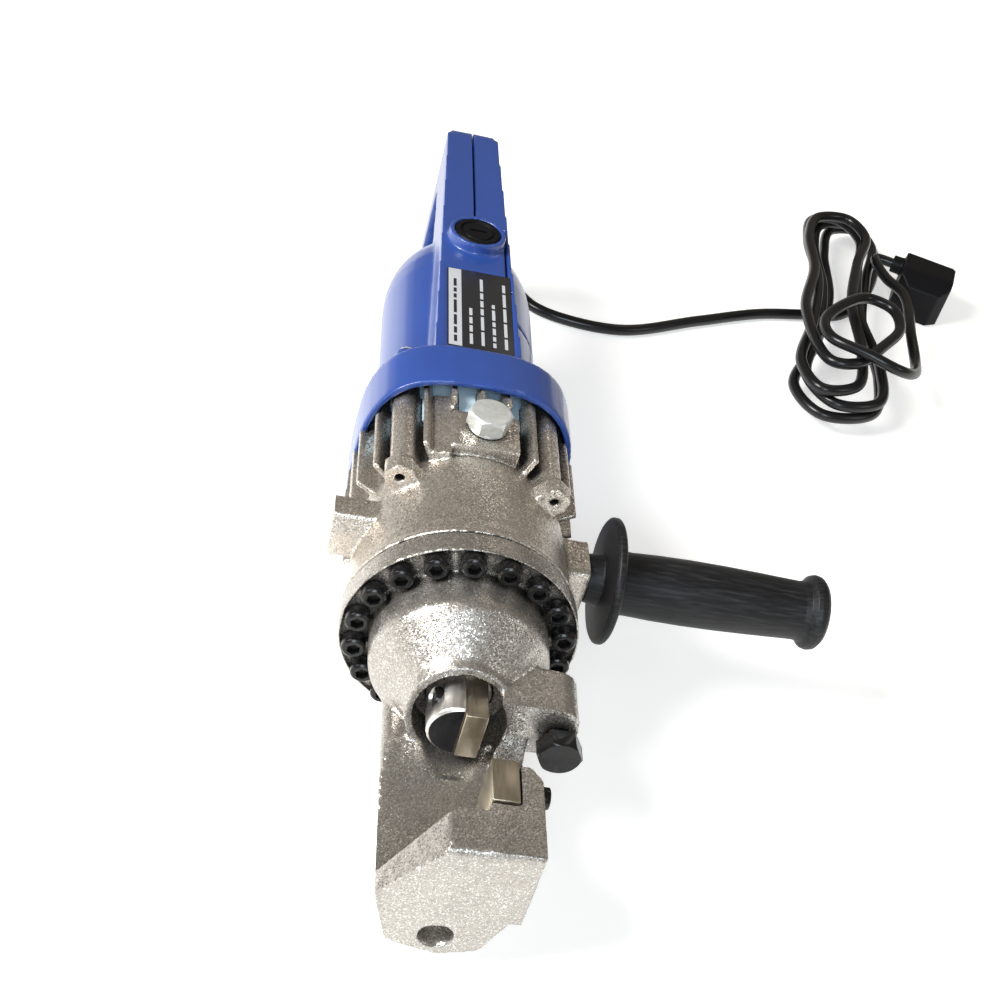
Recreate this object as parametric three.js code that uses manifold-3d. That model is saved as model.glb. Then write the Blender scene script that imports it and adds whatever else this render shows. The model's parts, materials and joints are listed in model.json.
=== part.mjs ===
// Portable electro-hydraulic bar shear.
//
// An electric motor (armature, fan, two-stage gear train) turns an eccentric that works an oil
// pump plunger. The oil pushes a spring-returned piston along Y, and the blade on its rod passes
// a fixed blade in the nose of the cast C-shaped head, so a steel bar laid across the throat is
// sheared.
//
// Frame: millimetres. -Y points to the nose, +Y to the rear handle, +Z up and +X to the side
// handle. The pieces are laid out from a point on the cylinder axis inside the bolted flange, and
// the finished tool is shifted along Y so that its origin is where that axis meets the flat front
// face of the nose.

import * as THREE from 'three';
import { mergeVertices } from 'three/addons/utils/BufferGeometryUtils.js';
import Module from 'manifold-3d';

const wasm = await Module();
wasm.setup();

// ---------------------------------------------------------------- driving dimensions

const GAP = 0.3; // air left between pieces that touch
const FLOOR_Z = -57.5; // plane the tool and its cord lie on

const FLANGE = { radius: 49, front: -3.5, seatY: -1.5, rear: 7.5, recessRadius: 47.9, neckRadius: 36.5 };
const BOLT = {
  count: 18, phase: -3.7, circle: 42.5, headRadius: 5, headLength: 6, shankRadius: 2.9, tipY: 20,
};

const NOSE_Y = -117; // front face of the head
const JAW = {
  left: -28, right: 29.3, top: 10.5, rear: 0, wallY: -97, seatY: -74.5, floorRear: -14, floorFront: -20,
};
const CYLINDER_RADIUS = 27.3;
const POCKET_RADIUS = 18.3; // clearance pocket round the moving blade
const SHEAR_X = 9.45; // plane in which the two blades pass each other

const ROD_RADIUS = 13;
const ROD_FRONT_Y = -53.5;
const RAM_SCREW = { y: -42.5, z: 5.5 }; // moving blade's screw
const PISTON = { front: 28, rear: 38, radius: 26.9 };

const STOPPER = { x: 39.7, z: -1.5, radius: 5 };
const BLADE_SCREW_Y = -80; // fixed blade's screw
const CASING = { front: FLANGE.rear + GAP, smoothEnd: 61, rear: 97, coreRadius: 42, finEnd: 118 };
const GEAR_CAVITY = { radius: 38, front: 61 };
const FIN = { count: 27, thickness: 2.5, radius: 53.5 };
const EAR = { angles: [-40, 40, -140, 140], circle: 49, width: 12, front: 44.5 };
const COLLAR = { a: 49, b: 55, power: 2.9, front: 97, rear: 125, wall: 2.8 };

const BARREL = { radius: 38.5, inner: 35.7, front: 119.5, roundFrom: 226, end: 260 };
const SPINE = { top: 48, frontY: 123, rearY: 350, frontHalf: 20.8, rearHalf: 14.4 };
const BRUSH = { y: 230, bossRadius: 14.5, capRadius: 11.6 };
const CORD_RADIUS = 3.4;
const CORD_EXIT = { y: 347, z: -47 };

const SIDE_HANDLE_Y = 45.5; // the side handle's axis runs along X at z = 0
const OIL_PLUG = { x: 2.5, y: 76, seatZ: 48.5 };

const GEAR = { module: 1.2, offset: -19.2, motor: 8, first: 24, second: 9, output: 23 };
const ECCENTRIC = { throw: 2, radius: 7, front: 63, rear: 72 };
const PLUNGER = { y: 67.5, inner: 14.4, outer: 34, radius: 4 };

// ---------------------------------------------------------------- solids from three.js geometry

// A closed three.js geometry as a solid: shared corners merged, slivers dropped, faces outward.
function solid(geometry) {
  const bare = geometry.clone();
  bare.deleteAttribute('normal');
  bare.deleteAttribute('uv');
  const merged = mergeVertices(bare, 1e-3);
  const points = merged.attributes.position;
  const index = merged.index.array;
  const faces = [];
  let volume = 0;
  const [a, b, c] = [new THREE.Vector3(), new THREE.Vector3(), new THREE.Vector3()];
  for (let i = 0; i < index.length; i += 3) {
    const [p, q, r] = index.slice(i, i + 3);
    if (p === q || q === r || r === p) continue;
    faces.push([p, q, r]);
    a.fromBufferAttribute(points, p);
    b.fromBufferAttribute(points, q);
    c.fromBufferAttribute(points, r);
    volume += a.dot(b.cross(c));
  }
  const outward = volume > 0 ? faces : faces.map(([p, q, r]) => [p, r, q]);
  return new wasm.Manifold(new wasm.Mesh({
    numProp: 3,
    vertProperties: Float32Array.from(points.array),
    triVerts: Uint32Array.from(outward.flat()),
  }));
}

function geometryOf(body) {
  const mesh = body.getMesh();
  const geometry = new THREE.BufferGeometry();
  geometry.setAttribute('position', new THREE.BufferAttribute(mesh.vertProperties, 3));
  geometry.setIndex(new THREE.BufferAttribute(mesh.triVerts, 1));
  geometry.computeVertexNormals();
  return geometry;
}

const join = (...bodies) => bodies.reduce((sum, body) => sum.add(body));
const cut = (body, ...tools) => tools.reduce((rest, tool) => rest.subtract(tool), body);

function box(x0, x1, y0, y1, z0, z1) {
  const geometry = new THREE.BoxGeometry(x1 - x0, y1 - y0, z1 - z0);
  return solid(geometry.translate((x0 + x1) / 2, (y0 + y1) / 2, (z0 + z1) / 2));
}

// Lays a geometry built round the Y axis along another axis, through a point.
function aim(geometry, axis, at) {
  if (axis === 'x') geometry.rotateZ(-Math.PI / 2);
  if (axis === 'z') geometry.rotateX(Math.PI / 2);
  return geometry.translate(...at);
}

// Turned piece: the profile lists [radius, position along the axis].
function turned(profile, { axis = 'y', at = [0, 0, 0], segments = 32 } = {}) {
  const points = profile.map(([radius, along]) => new THREE.Vector2(radius, along));
  return solid(aim(new THREE.LatheGeometry(points, segments), axis, at));
}

function rod(axis, radius, from, to, at = [0, 0, 0], segments = 16) {
  const geometry = new THREE.CylinderGeometry(radius, radius, to - from, segments);
  return solid(aim(geometry.translate(0, (from + to) / 2, 0), axis, at));
}

// Hexagon prism with its flats `across` apart.
const hexagon = (axis, across, from, to, at) => rod(axis, across / Math.sqrt(3), from, to, at, 6);

function ring(axis, inner, outer, from, to, at, segments = 20) {
  const profile = [[inner, from], [outer, from], [outer, to], [inner, to], [inner, from]];
  return turned(profile, { axis, at, segments });
}

const shapeOf = (outline) => new THREE.Shape(outline.map(([u, v]) => new THREE.Vector2(u, v)));

function extruded(shape, depth, curveSegments = 4) {
  const outline = Array.isArray(shape) ? shapeOf(shape) : shape;
  return new THREE.ExtrudeGeometry(outline, { depth, bevelEnabled: false, curveSegments });
}

// Prism along X of a (y, z) outline, along Y of an (x, z) outline, along Z of an (x, y) outline.
function prismX(shape, x0, x1) {
  const geometry = extruded(shape, x1 - x0).rotateX(Math.PI / 2).rotateZ(Math.PI / 2);
  return solid(geometry.translate(x0, 0, 0));
}

function prismY(shape, y0, y1) {
  return solid(extruded(shape, y1 - y0).rotateX(Math.PI / 2).translate(0, y1, 0));
}

function prismZ(shape, z0, z1) {
  return solid(extruded(shape, z1 - z0).translate(0, 0, z0));
}

// Rectangle with corners of one radius.
function roundedRectangle(u0, u1, v0, v1, radius) {
  const shape = new THREE.Shape();
  shape.absarc(u1 - radius, v0 + radius, radius, -Math.PI / 2, 0);
  shape.absarc(u1 - radius, v1 - radius, radius, 0, Math.PI / 2);
  shape.absarc(u0 + radius, v1 - radius, radius, Math.PI / 2, Math.PI);
  shape.absarc(u0 + radius, v0 + radius, radius, Math.PI, 1.5 * Math.PI);
  return shape;
}

// Closed superellipse |u/a|^n + |v/b|^n = 1, the rounded-square outline of the motor collar.
function superellipse(a, b, power, count = 44) {
  const bend = (value) => Math.sign(value) * Math.abs(value) ** (2 / power);
  return Array.from({ length: count }, (_, i) => {
    const angle = (2 * Math.PI * i) / count;
    return [a * bend(Math.cos(angle)), b * bend(Math.sin(angle))];
  });
}

function tube(points, radius, steps, sides, closedWire = false) {
  const shape = new THREE.Shape();
  shape.absarc(0, 0, radius, 0, 2 * Math.PI);
  const path = new THREE.CatmullRomCurve3(points, closedWire, 'centripetal');
  const options = { steps, bevelEnabled: false, extrudePath: path, curveSegments: sides };
  return solid(new THREE.ExtrudeGeometry(shape, options));
}

const degrees = (angle) => (angle * Math.PI) / 180;

// Turns a solid's own geometry round the tool axis; zero is up and positive is towards +X.
function roundAxis(body, angle) {
  const geometry = geometryOf(body);
  return solid(geometry.rotateY(degrees(angle)));
}

// ---------------------------------------------------------------- head with the C-shaped jaw

function headTurning() {
  const { radius, front, seatY, rear, recessRadius, neckRadius } = FLANGE;
  const profile = [
    [0, rear], [radius - 0.6, rear], [radius, rear - 0.6], [radius, front + 0.6], [radius - 0.5, front],
    [recessRadius, front], [recessRadius, seatY], [neckRadius, seatY], [36.4, -19], [35.6, -21],
    [22.6, -37], [21.8, -40], [21.4, -50], [0, -50],
  ];
  const mouthSlope = [[-40, 24], [-50, -24], [-60, -24], [-60, 24]];
  const ridge = box(-1.3, 1.3, front + 1, seatY + 1, neckRadius - 1, recessRadius + 0.4);
  const betweenScrews = BOLT.phase - 180 / BOLT.count;
  const casting = join(turned(profile, { segments: 54 }), roundAxis(ridge, betweenScrews));
  return cut(casting, prismX(mouthSlope, -30, 30));
}

function jawBlank() {
  const front = [
    [-27.6, -19], [-19.5, -44.5], [-16.5, -47], [1.5, -51.5], [15.8, -47], [18, -44.3], [26, -24],
    [JAW.right, JAW.top], [-5.5, JAW.top], [-27.6, -18],
  ];
  const side = new THREE.Shape();
  side.moveTo(NOSE_Y, -53);
  side.lineTo(NOSE_Y, JAW.top - 4);
  side.quadraticCurveTo(NOSE_Y, JAW.top, NOSE_Y + 4, JAW.top);
  side.lineTo(JAW.wallY, JAW.top);
  side.lineTo(JAW.wallY + 1, -7);
  side.quadraticCurveTo(JAW.wallY + 2.5, JAW.floorFront, JAW.wallY + 17, JAW.floorFront);
  side.lineTo(-47, JAW.floorRear);
  side.lineTo(JAW.rear, JAW.floorRear);
  side.lineTo(JAW.rear, -33);
  side.lineTo(-10, -36);
  side.lineTo(-46, -53);
  const shapedNose = prismY(front, NOSE_Y, JAW.rear);
  const screwAccess = ring('y', FLANGE.neckRadius, 80, -12, JAW.rear + 1, [0, 0, 0], 54);
  const wallTaper = [[-30, -109], [0, JAW.wallY], [-4, JAW.wallY + 17], [-30, JAW.wallY + 17]];
  const blank = shapedNose.intersect(prismX(side, JAW.left - 1, JAW.right + 1));
  return cut(blank, screwAccess, prismZ(wallTaper, JAW.floorFront, JAW.top + 1));
}

// Block that carries the fixed blade, and the stepped web between it and the stopper lug.
function bladeSeat() {
  const seat = [
    [SHEAR_X - 0.1, NOSE_Y + 1], [SHEAR_X - 0.1, JAW.seatY], [25, JAW.seatY], [JAW.right, JAW.seatY - 6],
    [JAW.right, NOSE_Y + 1],
  ];
  const web = [[-80, -12], [-55, -12], [-46, 1], [-30, 1], [-30, -26], [-80, -26]];
  const fillet = [[-98, 10], [-92, 2], [-84, -14], [-80, -22], [-98, -22]];
  return join(
    prismZ(seat, -30, JAW.top),
    prismX(web, 15.5, 28),
    prismX(fillet, 1.5, SHEAR_X),
  );
}

function stopperLug() {
  const outline = new THREE.Shape();
  outline.moveTo(14, -12);
  outline.lineTo(43.5, -12);
  outline.quadraticCurveTo(46.5, -12, 46.5, -9);
  outline.lineTo(46.5, 4);
  outline.quadraticCurveTo(46.5, 14, 35, 14);
  outline.lineTo(14, 14);
  return prismY(outline, -48, -26.5);
}

function cutterHead() {
  const nose = turned([[0, NOSE_Y - 1], [6.9, NOSE_Y - 1], [5.4, NOSE_Y + 9], [0, NOSE_Y + 12]],
    { at: [-0.7, 0, -40.5], segments: 24 });
  const casting = join(headTurning(), jawBlank(), bladeSeat(), stopperLug());
  const boltHoles = boltAngles().map((angle) => roundAxis(
    rod('y', BOLT.shankRadius + 0.5, -3, 8, [0, 0, BOLT.circle], 6), angle));
  return cut(
    casting,
    rod('y', CYLINDER_RADIUS, -14, 8, [0, 0, 0], 32),
    rod('y', ROD_RADIUS + GAP, -35, -13, [0, 0, 0], 28),
    rod('y', POCKET_RADIUS, -62, -33, [0, 0, 0], 32),
    rod('y', STOPPER.radius + GAP, -50, -25, [STOPPER.x, 0, STOPPER.z], 20),
    box(SHEAR_X - 0.2, 20.4, -93.1, -73, -12.6, 12),
    rod('x', 2.8, 19, 31, [0, BLADE_SCREW_Y, 0], 16),
    nose,
    ...boltHoles,
  );
}

const boltAngles = () => Array.from({ length: BOLT.count }, (_, i) => BOLT.phase + (360 / BOLT.count) * i);

// Socket-head cap screw along Y with its head at the front.
function flangeScrew() {
  const { circle, headRadius, headLength, shankRadius, tipY } = BOLT;
  const under = FLANGE.seatY - GAP;
  const front = under - headLength;
  const profile = [
    [0, front], [headRadius, front], [headRadius, under], [shankRadius, under], [shankRadius, tipY],
    [0, tipY],
  ];
  const blank = turned(profile, { at: [0, 0, circle], segments: 10 });
  return cut(blank, hexagon('y', 5, front - 1, front + 3.2, [0, 0, circle]));
}

function stopperBolt() {
  const { x, z, radius } = STOPPER;
  const at = [x, 0, z];
  const chamfer = turned([[0, -58.8], [7.7, -58.8], [9.6, -57.6], [9.6, -51], [0, -51]], { at });
  const shank = [[0, -51.5], [radius, -51.5], [radius, -24.5], [radius - 1, -23.5], [0, -23.5]];
  return join(
    hexagon('y', 16, -58.8, -51, at).intersect(chamfer),
    turned(shank, { at, segments: 20 }),
  );
}

function fixedBlade() {
  const blade = box(SHEAR_X + 0.15, 20.1, -92.8, -73.4, -12.3, 11.3);
  return cut(blade, rod('x', 2.8, 11, 22, [0, BLADE_SCREW_Y, 0], 16));
}

function fixedBladeScrew() {
  const at = [0, BLADE_SCREW_Y, 0];
  const [under, end] = [JAW.right + GAP, JAW.right + 4.6];
  const profile = [[0, 12], [2.5, 12], [2.5, under], [4.25, under], [4.25, end - 0.4], [3.85, end], [0, end]];
  const blank = turned(profile, { axis: 'x', at, segments: 20 });
  return cut(blank, hexagon('x', 4, end - 2.6, end + 1, at));
}

// ---------------------------------------------------------------- piston and moving blade

function piston() {
  const { front, rear, radius } = PISTON;
  const profile = [
    [0, ROD_FRONT_Y], [ROD_RADIUS - 1.2, ROD_FRONT_Y], [ROD_RADIUS, ROD_FRONT_Y + 1.2],
    [ROD_RADIUS, front], [radius, front], [radius, 31], [23.5, 31], [23.5, 35], [radius, 35],
    [radius, rear - 0.8], [radius - 0.8, rear], [0, rear],
  ];
  return cut(
    turned(profile, { segments: 28 }),
    box(0, 14, ROD_FRONT_Y - 1, -33.2, -14, 14),
    rod('x', 4.6, -14, -7, [0, RAM_SCREW.y, RAM_SCREW.z], 18),
    rod('x', 2.7, -8, 1, [0, RAM_SCREW.y, RAM_SCREW.z], 12),
  );
}

function movingBlade() {
  const blade = box(GAP, SHEAR_X - 0.25, -54.7, -33.6, -12, 11.3);
  return cut(blade, rod('x', 2.7, -1, 7.5, [0, RAM_SCREW.y, RAM_SCREW.z], 12));
}

function movingBladeScrew() {
  const profile = [[0, -11.2], [4.1, -11.2], [4.1, -7.2], [2.4, -7.2], [2.4, 6.8], [0, 6.8]];
  const blank = turned(profile, { axis: 'x', at: [0, RAM_SCREW.y, RAM_SCREW.z], segments: 16 });
  return cut(blank, hexagon('x', 4, -12, -9, [0, RAM_SCREW.y, RAM_SCREW.z]));
}

const pistonSeal = () => ring('y', 23.9, 27.1, 31.3, 34.7);

function returnSpring() {
  const turns = 5;
  const wire = 1.25;
  const [front, rear] = [-13.6 + wire, PISTON.front - GAP - wire];
  const stations = 60;
  const points = Array.from({ length: stations + 1 }, (_, i) => {
    const share = i / stations;
    const angle = 2 * Math.PI * turns * share;
    return new THREE.Vector3(20 * Math.sin(angle), front + (rear - front) * share, 20 * Math.cos(angle));
  });
  return tube(points, wire, 60, 3);
}

// ---------------------------------------------------------------- pump casing

function casingShell() {
  const { front, smoothEnd, rear, coreRadius } = CASING;
  const profile = [
    [0, front], [48.3, front], [48.9, front + 0.7], [48.9, front + 2.6], [47.4, front + 4],
    [47.3, front + 10.5], [46.8, front + 11.2], [46.4, front + 20], [45.3, smoothEnd - 6],
    [43.9, smoothEnd], [coreRadius, smoothEnd], [coreRadius, rear], [0, rear],
  ];
  return turned(profile, { segments: 54 });
}

// Distance from the axis to the collar's inner face at an angle from the vertical.
function collarReach(angle) {
  const { a, b, power, wall } = COLLAR;
  const across = Math.abs(Math.sin(degrees(angle))) / (a - wall);
  const up = Math.abs(Math.cos(degrees(angle))) / (b - wall);
  return (across ** power + up ** power) ** (-1 / power);
}

// Radial cooling fins that end inside the collar; the ears and the pad take some places.
function coolingFins() {
  const pitch = 360 / FIN.count;
  const fins = [];
  for (let i = 0; i < FIN.count; i += 1) {
    const angle = pitch * i > 180 ? pitch * i - 360 : pitch * i;
    const nearEar = EAR.angles.some((ear) => Math.abs(ear - angle) < 5);
    if (nearEar) continue;
    const start = Math.abs(angle) < 15 ? 87 : 56.5 + 2 * Math.abs(Math.sin(3 * i));
    const half = FIN.thickness / 2;
    const top = Math.min(FIN.radius, collarReach(angle) - 1.2);
    const tall = Math.min(FIN.radius, collarReach(angle) + COLLAR.wall + 0.5);
    const step = COLLAR.front - 1;
    const outline = [
      [start, 40], [start + 3, tall], [step, tall], [step, top], [CASING.finEnd, top], [CASING.finEnd, 40],
    ];
    fins.push(roundAxis(prismX(outline, -half, half), angle));
  }
  return join(...fins);
}

function casingEars() {
  const half = EAR.width / 2;
  const outline = [
    [-half, 38], [half, 38], [half, 50], [half - 2.8, 53.6], [2.8 - half, 53.6], [-half, 50],
  ];
  const bossReach = EAR.circle + 8;
  const boss = [
    [-half - 0.8, 38], [half + 0.8, 38], [half + 0.8, 52], [half - 2, bossReach], [2 - half, bossReach],
    [-half - 0.8, 52],
  ];
  const ears = EAR.angles.map((angle) => roundAxis(cut(
    join(prismY(boss, EAR.front, EAR.front + 9), prismY(outline, EAR.front + 8, CASING.finEnd)),
    rod('y', 2.1, 42, 60, [0, 0, EAR.circle + 2], 8),
    rod('y', 2.4, 96, 119, [0, 0, EAR.circle], 8),
  ), angle));
  return join(...ears);
}

function casingBosses() {
  const spareBoss = [[34, 25], [45, 25], [45, 4], [30.5, 4], [30.5, 16]];
  const handleBoss = roundedRectangle(34, 57, -12, 12, 2.5);
  const valveBoss = roundedRectangle(27, 43, -34, -18, 4);
  return join(
    prismX(spareBoss, -57, -38),
    prismX(handleBoss, 38, 55.5),
    prismX(valveBoss, 28, 44),
    box(-12, 17, 62.3, 86, 36, OIL_PLUG.seatZ),
    prismY([[-19.6, 38], [-12.2, 38], [-12.2, 46.5], [-19.6, 45]], 58, 98),
  );
}

function pumpCasing() {
  const { front, rear } = CASING;
  const solidBody = join(casingShell(), coolingFins(), casingEars(), casingBosses());
  const baffleRoom = rod('y', 46.1, 103.7, 120, [0, 0, 0], 36);
  const gearCavity = rod('y', GEAR_CAVITY.radius, GEAR_CAVITY.front, rear + 1, [0, 0, 0], 28);
  const fanRoom = rod('y', 42.2, rear, 120, [0, 0, 0], 36);
  const pumpBoss = box(19.5, 40, 60, 74, -8, 8);
  const screwHoles = boltAngles().map((angle) => roundAxis(
    rod('y', BOLT.shankRadius + 0.5, front - 1, BOLT.tipY + 1, [0, 0, BOLT.circle], 6), angle));
  const hollow = cut(
    solidBody,
    gearCavity,
    fanRoom,
    baffleRoom,
    rod('y', CYLINDER_RADIUS, front - 1, 40.5, [0, 0, 0], 32),
    rod('y', 6.3, 54, 62),
    rod('y', 2.8, 57, 62, [GEAR.offset, 0, 0], 16),
    rod('x', 5.2, 43, 57, [0, SIDE_HANDLE_Y, 0], 20),
    rod('x', 4.3, 33, 45, [0, 35, -26], 20),
    rod('z', 5.2, 36, 50, [OIL_PLUG.x, OIL_PLUG.y, 0], 20),
    ...screwHoles,
  );
  return cut(
    join(hollow, pumpBoss.intersect(rod('y', 40, 59, 75, [0, 0, 0], 36))),
    rod('x', PLUNGER.radius + GAP, 18, 39, [0, PLUNGER.y, 0], 20),
    rod('y', 2, 39, PLUNGER.y, [23, 0, 0], 12),
  );
}

function oilPlug() {
  const at = [OIL_PLUG.x, OIL_PLUG.y, 0];
  const [under, top] = [OIL_PLUG.seatZ + 2, OIL_PLUG.seatZ + 9];
  const outline = [[0, under], [10.2, under], [10.2, top - 1.2], [8.2, top], [0, top]];
  return join(
    hexagon('z', 17, under, top, at).intersect(turned(outline, { axis: 'z', at })),
    rod('z', 4.9, 39, under + 1, at, 20),
  );
}

function oilPlugWasher() {
  const { x, y, seatZ } = OIL_PLUG;
  return ring('z', 5.2, 8.4, seatZ + GAP, seatZ + 2 - GAP, [x, y, 0]);
}

function releaseValve() {
  const at = [0, 35, -26];
  const profile = [[0, 34], [4, 34], [4, 44.5], [7, 44.5], [7, 51], [6.2, 51.8], [0, 51.8]];
  return cut(turned(profile, { axis: 'x', at, segments: 20 }), box(50, 53, 28, 42, -26.8, -25.2));
}

// ---------------------------------------------------------------- gear train and pump drive

// Gear outline with narrow straight-sided teeth; `tooth` is the direction of one tooth centre.
function gearOutline(teeth, tooth) {
  const pitchRadius = (GEAR.module * teeth) / 2;
  const [root, tip] = [pitchRadius - 0.95 * GEAR.module, pitchRadius + 0.6 * GEAR.module];
  const step = (2 * Math.PI) / teeth;
  const corners = [[-0.2, root], [-0.08, tip], [0.08, tip], [0.2, root]];
  const outline = [];
  for (let i = 0; i < teeth; i += 1) {
    for (const [share, radius] of corners) {
      const angle = tooth + (i + share) * step;
      outline.push([radius * Math.cos(angle), radius * Math.sin(angle)]);
    }
  }
  return outline;
}

const shifted = (outline, x) => outline.map(([u, v]) => [u + x, v]);

function intermediateGear() {
  const { offset, first, second } = GEAR;
  return join(
    prismY(shifted(gearOutline(first, Math.PI / first), offset), 83.8, 93.2),
    prismY(shifted(gearOutline(second, 0), offset), 76.2, 83.8),
    rod('y', 2.5, 58.5, 96.5, [offset, 0, 0], 14),
  );
}

function outputGear() {
  const outline = gearOutline(GEAR.output, Math.PI + Math.PI / GEAR.output);
  return cut(prismY(outline, 76.6, 82.6), rod('y', 5.3, 76, 84, [0, 0, 0], 20));
}

function eccentricShaft() {
  return join(
    turned([[0, 56.5], [6, 56.5], [6, ECCENTRIC.front], [0, ECCENTRIC.front]], { segments: 16 }),
    rod('y', ECCENTRIC.radius, ECCENTRIC.front, ECCENTRIC.rear, [-ECCENTRIC.throw, 0, 0], 20),
    turned([[0, ECCENTRIC.rear], [6.5, ECCENTRIC.rear], [6.5, 76.2], [5, 76.2], [5, 83.4], [0, 83.4]],
      { segments: 16 }),
  );
}

const eccentricBearing = () => ring('y', ECCENTRIC.radius + 0.1, 12, 63.5, 71.5, [-ECCENTRIC.throw, 0, 0]);

const pumpPlunger = () => rod('x', PLUNGER.radius, PLUNGER.inner, PLUNGER.outer, [0, PLUNGER.y, 0], 20);

function gearCover() {
  const profile = [[0, 94.3], [37.6, 94.3], [37.6, 97.6], [15, 97.6], [14, 101.3], [0, 101.3]];
  return cut(
    turned(profile, { segments: 24 }),
    rod('y', 5.4, 93, 102),
    rod('y', 11.3, 96.3, 102, [0, 0, 0], 24),
    rod('y', 2.8, 93, 97, [GEAR.offset, 0, 0], 14),
  );
}

// ---------------------------------------------------------------- motor

function armature() {
  const core = [
    [0, 84.6], [2.4, 84.6], [2.4, 93.6], [4, 94], [4, 128], [9, 129], [16, 132], [17, 139], [19.5, 140],
    [19.5, 187], [17, 188], [16, 197], [9, 200], [6, 202], [6, 220], [12, 220], [12, 240], [6, 240.5],
    [4, 241], [4, 250.5], [0, 250.5],
  ];
  const pinion = prismY(gearOutline(GEAR.motor, Math.PI), 85, 93);
  const slots = Array.from({ length: 8 }, (_, i) => roundAxis(box(-1, 1, 139, 188, 17.5, 21), 45 * i));
  return cut(join(turned(core, { segments: 16 }), pinion), ...slots);
}

function stator() {
  const stack = prismY(roundedRectangle(-33.6, 33.6, -27.6, 27.6, 21.6), 140, 187);
  return cut(stack, rod('y', 20.4, 139, 188, [0, 0, 0], 24));
}

function fan() {
  const blades = Array.from({ length: 11 }, (_, i) => {
    const outline = [[6.5, -1], [33, 5], [33, 6.6], [6.5, 1]];
    return roundAxis(prismY(outline, 104.6, 114), (360 / 11) * i);
  });
  const hub = turned([[0, 103.8], [9, 103.8], [9, 113.6], [33.5, 113.6], [33.5, 115.2], [0, 115.2]]);
  return cut(join(hub, ...blades), rod('y', 4.3, 103, 116, [0, 0, 0], 20));
}

function fanBaffle() {
  const sleeve = [
    [42.6, 87], [45.5, 87], [45.5, 118.6], [26, 118.6], [24, 116.9], [42.6, 116.9], [42.6, 87],
  ];
  const body = turned(sleeve, { segments: 30 });
  const pitch = 360 / FIN.count;
  const slots = Array.from({ length: FIN.count }, (_, i) => roundAxis(
    box(-FIN.thickness / 2 - 0.35, FIN.thickness / 2 + 0.35, 86, 104, 41, 47), pitch * i));
  const earSlots = EAR.angles.map((angle) => roundAxis(box(-6.4, 6.4, 86, 104, 41, 47), angle));
  const barSlot = box(-20.2, -11.6, 86, 98.4, 36, 47);
  return cut(body, barSlot, ...slots, ...earSlots);
}

const bearing = (inner, outer, from, to) => ring('y', inner, outer, from, to, [0, 0, 0]);

const carbonBrush = (side) => (side > 0 ? box(-3, 3, 226, 234, 12.5, 27) : box(-3, 3, 226, 234, -27, -12.5));

// Slotted brush cap facing up (side 1) or down (side -1), its outer face at height `top`.
function brushCap(side, top) {
  const { y, capRadius } = BRUSH;
  const outline = [
    [0, top - 6.2], [capRadius, top - 6.2], [capRadius, top - 0.6], [capRadius - 0.6, top], [8.6, top],
    [8.6, top - 0.8], [7.6, top - 0.8], [7.6, top], [0, top],
  ];
  const cap = cut(
    turned(outline, { axis: 'z', at: [0, y, 0], segments: 20 }),
    box(-4.4, 4.4, y - 0.8, y + 0.8, top - 1.2, top + 1),
  );
  return side > 0 ? cap : mirrorZ(cap);
}

const mirrorZ = (body) => solid(geometryOf(body).scale(1, 1, -1));

// ---------------------------------------------------------------- motor housing and rear handle

function collarBand() {
  const { a, b, power, front, rear, wall } = COLLAR;
  const outer = prismY(superellipse(a, b, power), front, rear);
  const inner = prismY(superellipse(a - wall, b - wall, power), front - 1, rear - 3.4);
  return cut(outer, inner);
}

function barrelOutline(radius, front, roundFrom, end, endRadius) {
  const profile = [[0, front], [radius, front], [radius, roundFrom]];
  const steps = 5;
  for (let i = 1; i <= steps; i += 1) {
    const angle = (Math.PI / 2) * (i / steps);
    const across = endRadius + (radius - endRadius) * Math.cos(angle);
    profile.push([across, roundFrom + (end - roundFrom) * Math.sin(angle)]);
  }
  profile.push([0, end]);
  return profile;
}

// Side view of the closed rear handle: flat spine on top, slanting rear bar, lower bar.
function handleSide() {
  const outline = new THREE.Shape();
  outline.moveTo(SPINE.frontY, 20);
  outline.lineTo(SPINE.frontY, SPINE.top);
  outline.lineTo(SPINE.rearY - 8, SPINE.top);
  outline.quadraticCurveTo(SPINE.rearY, SPINE.top, SPINE.rearY, 40);
  outline.lineTo(347, -40);
  outline.quadraticCurveTo(347, -57, 330, -57);
  outline.lineTo(266, -57);
  outline.quadraticCurveTo(250, -55, 238, -38);
  outline.lineTo(238, 20);
  return outline;
}

function fingerOpening() {
  const opening = new THREE.Shape();
  opening.moveTo(278, 19);
  opening.lineTo(316, 21);
  opening.quadraticCurveTo(326, 21, 326, 11);
  opening.lineTo(328, -27);
  opening.quadraticCurveTo(328, -38, 316, -38);
  opening.lineTo(284, -38);
  opening.quadraticCurveTo(266, -36, 265, -18);
  opening.lineTo(265, 6);
  opening.quadraticCurveTo(265, 19, 278, 19);
  return opening;
}

function handleBlank() {
  const { frontY, rearY, frontHalf, rearHalf } = SPINE;
  const plan = [
    [-frontHalf, frontY], [frontHalf, frontY], [rearHalf, rearY - 9], [rearHalf - 3, rearY - 3.5],
    [5, rearY], [-5, rearY], [3 - rearHalf, rearY - 3.5], [-rearHalf, rearY - 9],
  ];
  const loop = cut(prismX(handleSide(), -24, 24), prismX(fingerOpening(), -25, 25));
  return loop.intersect(prismZ(plan, -60, 50));
}

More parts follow.
